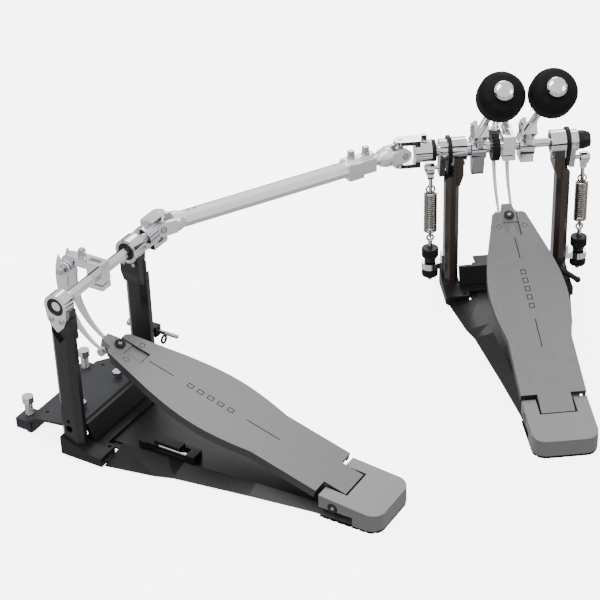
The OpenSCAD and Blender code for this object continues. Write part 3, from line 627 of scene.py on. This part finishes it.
def on_pin_head(c):
    """True on the heads of the pins that hinge the heels, but for the floors of their sockets."""
    for place in (ON_MAIN, ON_SLAVE):
        off = place.inverted() @ c - HEEL_HINGE
        beside = math.hypot(off.y, off.z)
        if off.length < PIN_ZONE and (abs(off.x) > PIN_END or beside > PIN_SOCKET):
            return True
    return False


def marked(c):
    """True in the engraved lines and squares along a board's middle; c is in the board's frame."""
    return abs(c.x) < MARKS_HALF_WIDTH and MARKS_FROM < c.y < MARKS_TO and c.z > -MARKS_DEPTH


def board_finish(c, lift):
    """0 on a board's top, 1 on its sides and underside, which take a darker grey as painted shade,
    and 2 in its marks; lift is how far the face looks up from the board."""
    if marked(c) and c.z < -MARKS_FLOOR:
        return 2
    # faces that don't look up from the board get the darker grey: painted shade on its sides and
    # underside
    return 0 if lift > 0.9 else 1


def fastener_finish(c):
    """0 on the slider screw's black head, 1 in its socket and on the toe pin, 2 on the rivets."""
    if c.y > TOE_PIN_FROM:
        return 1
    if abs(c.x) > RIVETS_FROM:
        return 2
    beside = math.hypot(c.x, c.y - SLIDER_SCREW_AT)
    return 1 if c.z < SLIDER_SOCKET_BELOW and beside < SLIDER_SOCKET else 0


def finish_board(side, turn, place, machined):
    """Finishes one pedal's board, toe slider, their fasteners and its links."""
    to_board = (place @ ON_BOARD).inverted()
    top = (place @ ON_BOARD).to_3x3() @ Vector((0, 0, 1))
    face = finish_of(brushed_grey, turn)
    # the board's sides and underside take a darker grey of the same anodising, as painted shade
    softened(side + "_footboard", 0.9 * MM,
             [face, finish_of(shaded_board_side), finish_of(dark_mark_colour)], segments=3,
             pick=lambda c, n: board_finish(to_board @ c, n.dot(top)),
             skip=lambda c: marked(to_board @ c))
    softened(side + "_toe_slider", machined, [face])
    softened(side + "_toe_fasteners", 0.3 * MM,
             [finish_of(black_oxide), finish_of(zinc_plate), face],
             pick=lambda c, n: fastener_finish(to_board @ c))
    softened(side + "_link_arms", 0.4 * MM, [finish_of(pale_anodised)])


# ---------- operators ----------


class PEDAL_OT_stage(Operator):
    """Pale floor, soft lights and the camera"""

    bl_idname = "pedal.stage"
    bl_label = "Stage"

    def execute(self, context):
        self.add_floor(context.scene)
        self.add_room(context.scene)
        self.add_lamps(context.scene)
        self.add_camera(context.scene)
        return {"FINISHED"}

    def add_floor(self, scene):
        bm = bmesh.new()
        bmesh.ops.create_grid(bm, x_segments=2, y_segments=2, size=FLOOR_HALF)
        mesh = bpy.data.meshes.new("floor")
        bm.to_mesh(mesh)
        bm.free()
        floor = bpy.data.objects.new("floor", mesh)
        scene.collection.objects.link(floor)
        # a lit table: its light is for the eye only, so that black parts stay black above it
        floor.visible_glossy = False
        floor.visible_diffuse = False
        mat, tree, shader, where = start("white studio floor", "#f4f4f4", 0.0, 0.7,
                                         Emission_Color=grey(1.0), Emission_Strength=FLOOR_GLOW)
        cloud = add(tree, "ShaderNodeTexNoise", [("Vector", where)],
                    Scale=3.0, Detail=2.0)["Fac"]  # patches a third of a metre across
        add(tree, "ShaderNodeValToRGB", [("Fac", cloud)], to=shader["Base Color"],
            stops=[(0.3, colour("#f3f3f3")), (0.7, colour("#f6f6f6"))])
        mesh.materials.append(mat)

    def add_room(self, scene):
        world = bpy.data.worlds.new("studio")
        world.use_nodes = True
        scene.world = world
        tree = world.node_tree
        ray = add(tree, "ShaderNodeTexCoord")["Generated"]
        height = add(tree, "ShaderNodeSeparateXYZ", [("Vector", ray)])["Z"]
        cloud = add(tree, "ShaderNodeTexNoise", [("Vector", ray)],
                    Scale=ROOM_PATCHES, Detail=1.0)["Fac"]
        band = add(tree, "ShaderNodeMath", [(0, cloud), (1, ROOM_RAGGED), (2, height)],
                   operation="MULTIPLY_ADD")["Value"]
        add(tree, "ShaderNodeValToRGB", [("Fac", band)],
            stops=[(place, grey(value)) for place, value in ROOM_BANDS],
            to=tree.nodes["Background"].inputs["Color"])

    def add_lamps(self, scene):
        for name, place, size, power in LAMPS:
            data = bpy.data.lights.new(name, "AREA")
            data.size = size
            data.energy = power
            lamp = bpy.data.objects.new(name, data)
            lamp.location = place
            aim = LAMPS_AIM - lamp.location
            lamp.rotation_euler = aim.to_track_quat("-Z", "Y").to_euler()
            scene.collection.objects.link(lamp)

    def add_camera(self, scene):
        camera = bpy.data.objects.new("camera", bpy.data.cameras.new("camera"))
        scene.collection.objects.link(camera)
        scene.camera = camera
        level = math.cos(CAMERA_PITCH)
        ahead = Vector((-math.sin(CAMERA_YAW) * level, math.cos(CAMERA_YAW) * level,
                        -math.sin(CAMERA_PITCH)))
        across = Vector((math.cos(CAMERA_YAW), math.sin(CAMERA_YAW), 0))
        above = across.cross(ahead)
        right = math.cos(CAMERA_ROLL) * across + math.sin(CAMERA_ROLL) * above
        up = -math.sin(CAMERA_ROLL) * across + math.cos(CAMERA_ROLL) * above
        turn = Matrix((right, up, -ahead)).transposed().to_4x4()
        camera.matrix_world = Matrix.Translation(CAMERA_PLACE) @ turn
        camera.data.sensor_width = CAMERA_SENSOR
        camera.data.lens = CAMERA_LENS
        camera.data.shift_x, camera.data.shift_y = CAMERA_SHIFT


class PEDAL_OT_base(Operator):
    """Castings, floor plates, posts, heels, pads, spurs, hoop clamp and their screws"""

    bl_idname = "pedal.base"
    bl_label = "Base"

    def execute(self, context):
        edges = context.scene.pedal.edges
        for node in ("main_base_casting", "slave_base_casting"):
            softened(node, edges.cast, [finish_of(black_casting)])
        softened("base_plates", edges.machined, [finish_of(black_sheet)])
        softened("posts", edges.cast, [finish_of(bronze_post), finish_of(graphite_post)],
                 pick=lambda c, n: 0 if c.x > BETWEEN_PEDALS else 1)
        softened("bearing_housings", edges.machined, [finish_of(chrome)])
        softened("bearings", 0.2 * MM, [finish_of(black_oxide)])
        softened("frame_screws", 0.25 * MM, [finish_of(zinc_plate), finish_of(black_oxide)],
                 pick=lambda c, n: 1 if on_pin_head(c) else 0)
        softened("heel_plates", 1.3 * MM, [finish_of(brushed_grey)], segments=3)
        softened("rubber_pads", 0.3 * MM, [finish_of(beater_rubber)])
        softened("spring_brackets", edges.machined, [finish_of(chrome)])
        softened("outrigger_plate", edges.machined, [finish_of(slate_sheet)])
        softened("tool_holders", edges.machined, [finish_of(knob_plastic)])
        softened("stored_keys", 0.25 * MM, [finish_of(chrome)])
        for node in ("left_spur", "right_spur"):
            softened(node, 0.8 * MM, [finish_of(chrome)], segments=3)
            centre = middle(node)
            thread = coil(radius=3.9 * MM, wire=0.55 * MM, low=16 * MM, high=31 * MM, turns=10,
                          steps=24, sides=6)
            piece(node + "_thread", thread, node, [finish_of(zinc_plate)],
                  smooth=60,
                  place=Matrix.Translation((centre.x, centre.y, 0)))
        softened("hoop_clamp_jaw", edges.machined, [finish_of(slate_sheet)])
        softened("hoop_clamp_screw", 0.3 * MM, [finish_of(black_oxide)])
        return {"FINISHED"}


class PEDAL_OT_boards(Operator):
    """Footboards with their toe sliders and links"""

    bl_idname = "pedal.boards"
    bl_label = "Footboards"

    def execute(self, context):
        machined = context.scene.pedal.edges.machined
        finish_board("main", 0.0, ON_MAIN, machined)
        finish_board("slave", SLAVE_TURN, ON_SLAVE, machined)
        return {"FINISHED"}


class PEDAL_OT_axles(Operator):
    """Axles, rockers, levers, beater holders and the drive shaft"""

    bl_idname = "pedal.axles"
    bl_label = "Axles and shaft"

    def execute(self, context):
        machined = context.scene.pedal.edges.machined
        for node in ("main_axle", "main_rocker_arm", "right_beater_holder", "right_beater_stem",
                     "slave_axle", "slave_rocker_arm", "slave_yoke", "main_yoke", "left_sleeve",
                     "left_beater_holder", "left_beater_stem"):
            softened(node, machined, [finish_of(chrome)])
        # each lever has a black washer plate on its inner side
        for node in ("left_spring_lever", "right_spring_lever"):
            softened(node, machined, [finish_of(chrome), finish_of(knob_plastic)],
                     pick=lambda c, n: 1 if abs(c.x) < WASHER_TO else 0)
        for node in ("main_rocker_screws", "right_holder_screws", "slave_rocker_screws",
                     "slave_cross", "main_cross", "shaft_clamp_screws", "left_holder_screws"):
            softened(node, 0.3 * MM, [finish_of(zinc_plate)])
        for node in ("shaft_tube", "shaft_clamp", "shaft_rod"):
            softened(node, machined, [finish_of(pale_anodised)])
        softened("axle_end_cap", 0.8 * MM, [finish_of(knob_plastic)])
        softened("thumb_wheel", 0.3 * MM, [finish_of(knob_plastic)])
        return {"FINISHED"}


class PEDAL_OT_beaters(Operator):
    """Rubber beater heads with their plated caps"""

    bl_idname = "pedal.beaters"
    bl_label = "Beater heads"

    def execute(self, context):
        head = [*rounded(HEAD_PROFILE, 1.6), HEAD_PROFILE[0]]
        grow = context.scene.pedal.heads.cap / (CAP_RADIUS * MM)
        cap = [(r * grow, z) for r, z in CAP_PROFILE]
        for side, body in (("left", "left_sleeve"), ("right", "main_axle")):
            node = side + "_beater_head"
            place = (Matrix.Translation((middle(node).x, AXLE.y, AXLE.z))
                     @ Matrix.Rotation(LEAN, 4, "X") @ Matrix.Translation((0, STEM_OFF, REACH)))
            piece(side + "_head", spun(head, 72), body, [finish_of(beater_rubber)],
                  replaces=[node], place=place)
            piece(side + "_cap", spun(cap, 64), body, [finish_of(chrome)],
                  smooth=50, place=place)
        return {"FINISHED"}


class PEDAL_OT_springs(Operator):
    """Coil springs with their hooks, rods and knobs"""

    bl_idname = "pedal.springs"
    bl_label = "Springs"

    def execute(self, context):
        springs = context.scene.pedal.springs
        wire = finish_of(spring_wire)
        for side in ("left", "right"):
            low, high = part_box(side + "_coil_spring")
            centre = (low + high) / 2
            x, y = centre.x, centre.y
            bm = coil((high.x - low.x) / 2 - springs.wire, springs.wire, low.z + springs.wire,
                      high.z - springs.wire, springs.turns)
            bm.transform(Matrix.Translation((x, y, 0)))
            spring = piece(side + "_coil", bm, None, [wire],
                           replaces=[side + "_coil_spring"], smooth=80)
            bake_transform(spring)

            loop = hoop(4.0 * MM, 0.95 * MM, (1, 0, 0), (x, 0, low.z - 3.1 * MM))
            piece(side + "_lower_loop", loop, side + "_spring", [wire])
            # the upper end is a pair of crossed loops
            loops = [hoop(4.6 * MM, 1.0 * MM, axis, (x, 0, high.z + 4.0 * MM))
                     for axis in ((0, 1, 0), (1, 0, 0))]
            piece(side + "_upper_loop", join(*loops), side + "_hook", [wire])

            softened(side + "_spring_rod", 0.2 * MM, [finish_of(zinc_plate)])
            softened(side + "_spring_hook", 0.5 * MM, [finish_of(chrome)])
            knobs = [spun(rounded(profile, 1.1), 72, knurl=(8.7, 0.5))
                     for profile in (UPPER_KNOB, LOWER_KNOB)]
            piece(side + "_knobs", join(*knobs), side + "_spring", [finish_of(knob_plastic)],
                  replaces=[side + "_spring_knobs"], smooth=50,
                  place=Matrix.Translation((x, 0, 0)))
        return {"FINISHED"}


class PEDAL_PT_panel(Panel):
    """Buttons that make the pedal's pieces"""

    bl_idname = "PEDAL_PT_panel"
    bl_label = "Bass drum pedal"
    bl_space_type = "VIEW_3D"
    bl_region_type = "UI"
    bl_category = "Pedal"

    def draw(self, context):
        settings = context.scene.pedal
        for group, names in ((settings.springs, ("turns", "wire")), (settings.heads, ("cap",)),
                             (settings.edges, ("cast", "machined")),
                             (settings.colours, ("board", "post"))):
            for name in names:
                self.layout.prop(group, name)
        for operator in OPERATORS:
            self.layout.operator(operator.bl_idname)


OPERATORS = (PEDAL_OT_stage, PEDAL_OT_base, PEDAL_OT_boards, PEDAL_OT_axles, PEDAL_OT_beaters,
             PEDAL_OT_springs)
CLASSES = (PedalSprings, PedalHeads, PedalEdges, PedalColours, PedalSettings, *OPERATORS,
           PEDAL_PT_panel)


def register():
    for cls in CLASSES:
        bpy.utils.register_class(cls)
    bpy.types.Scene.pedal = PointerProperty(type=PedalSettings)


def unregister():
    del bpy.types.Scene.pedal
    for cls in reversed(CLASSES):
        bpy.utils.unregister_class(cls)


def main():
    register()
    for operator in OPERATORS:
        group, name = operator.bl_idname.split(".")
        getattr(getattr(bpy.ops, group), name)()


if __name__ == "__main__":
    main()
